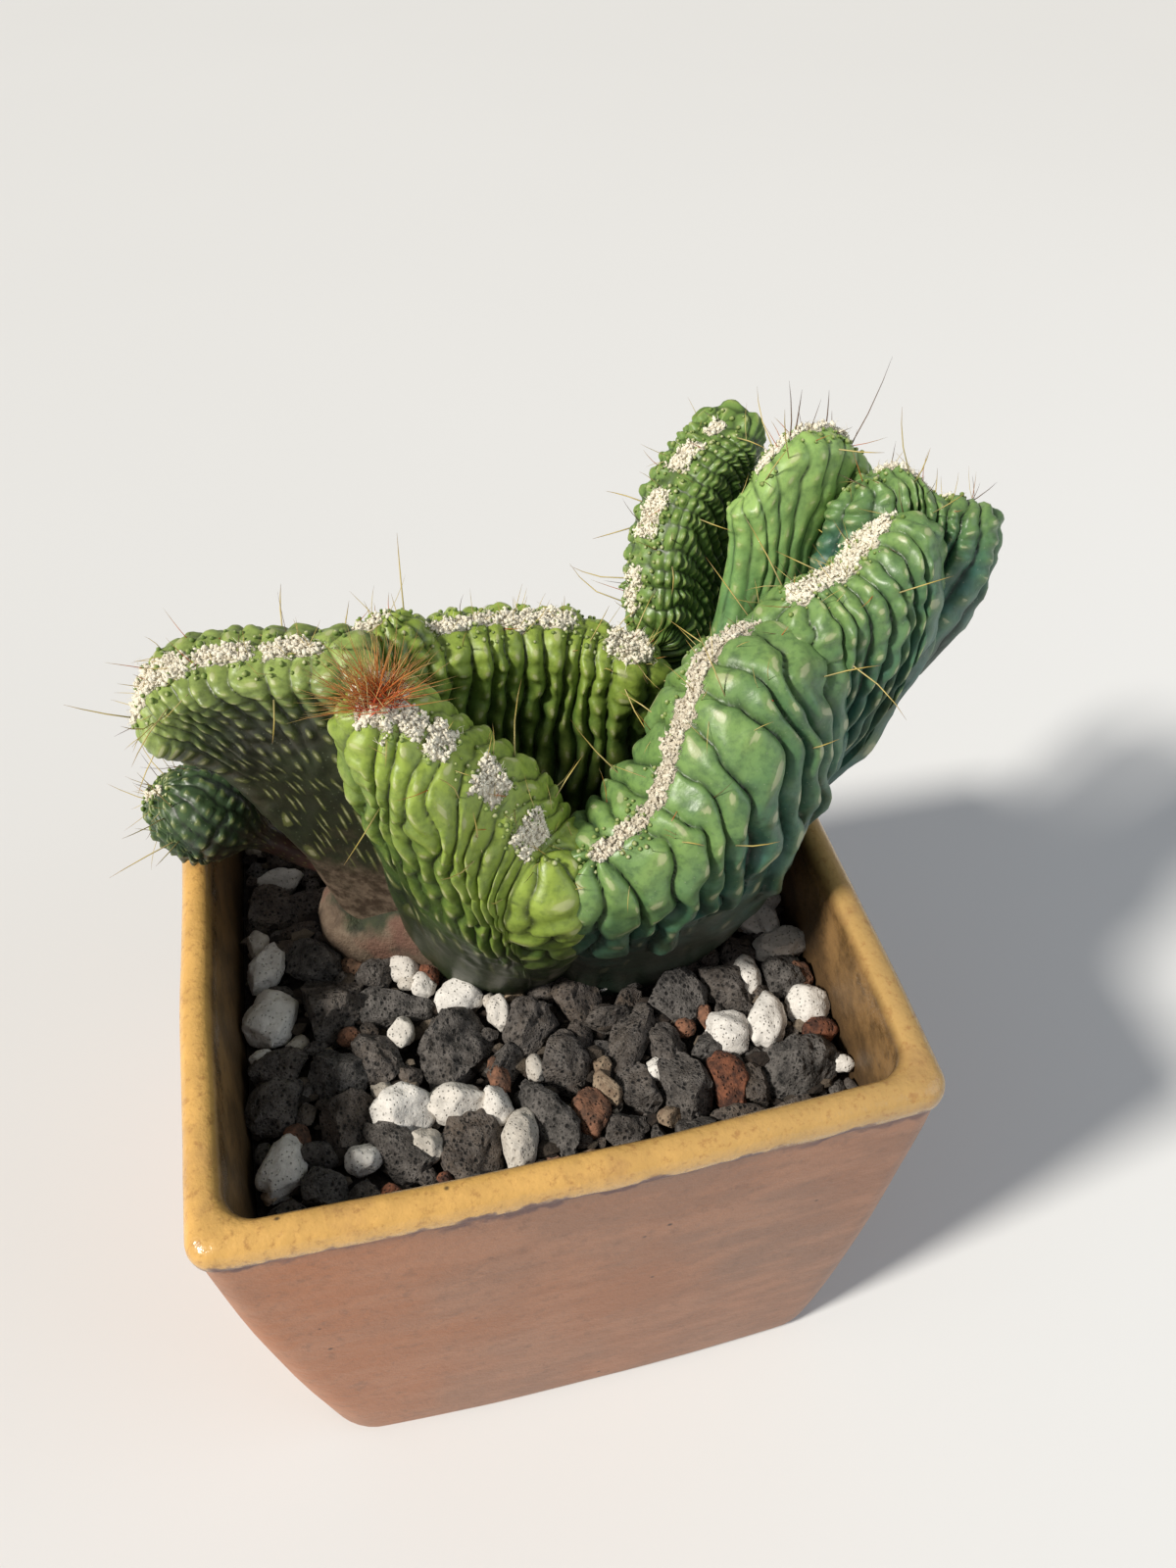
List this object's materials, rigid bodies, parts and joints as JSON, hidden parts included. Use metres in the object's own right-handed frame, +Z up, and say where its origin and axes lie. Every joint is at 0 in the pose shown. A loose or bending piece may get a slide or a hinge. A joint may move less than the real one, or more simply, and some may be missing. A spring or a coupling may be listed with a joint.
{
  "type": "potted cactus",
  "caption": "Crested cactus with fan-shaped ribbed lobes and spiny woolly crests, standing in lava and pumice grit in a square glazed clay pot.",
  "frame": {"origin": "middle of the pot's flat underside", "axes": "+Z up, -Y out of the pot's front wall, +X to the right, the way the plant leans"},
  "size_m": [0.1248, 0.091, 0.1354],
  "materials": {
    "glazed_clay": "satin",
    "grit": "rough",
    "cactus_skin": "satin"
  },
  "bodies": {
    "root": {"pot": "glazed_clay", "grit": "grit", "cactus": "cactus_skin"}
  },
  "joints": []
}
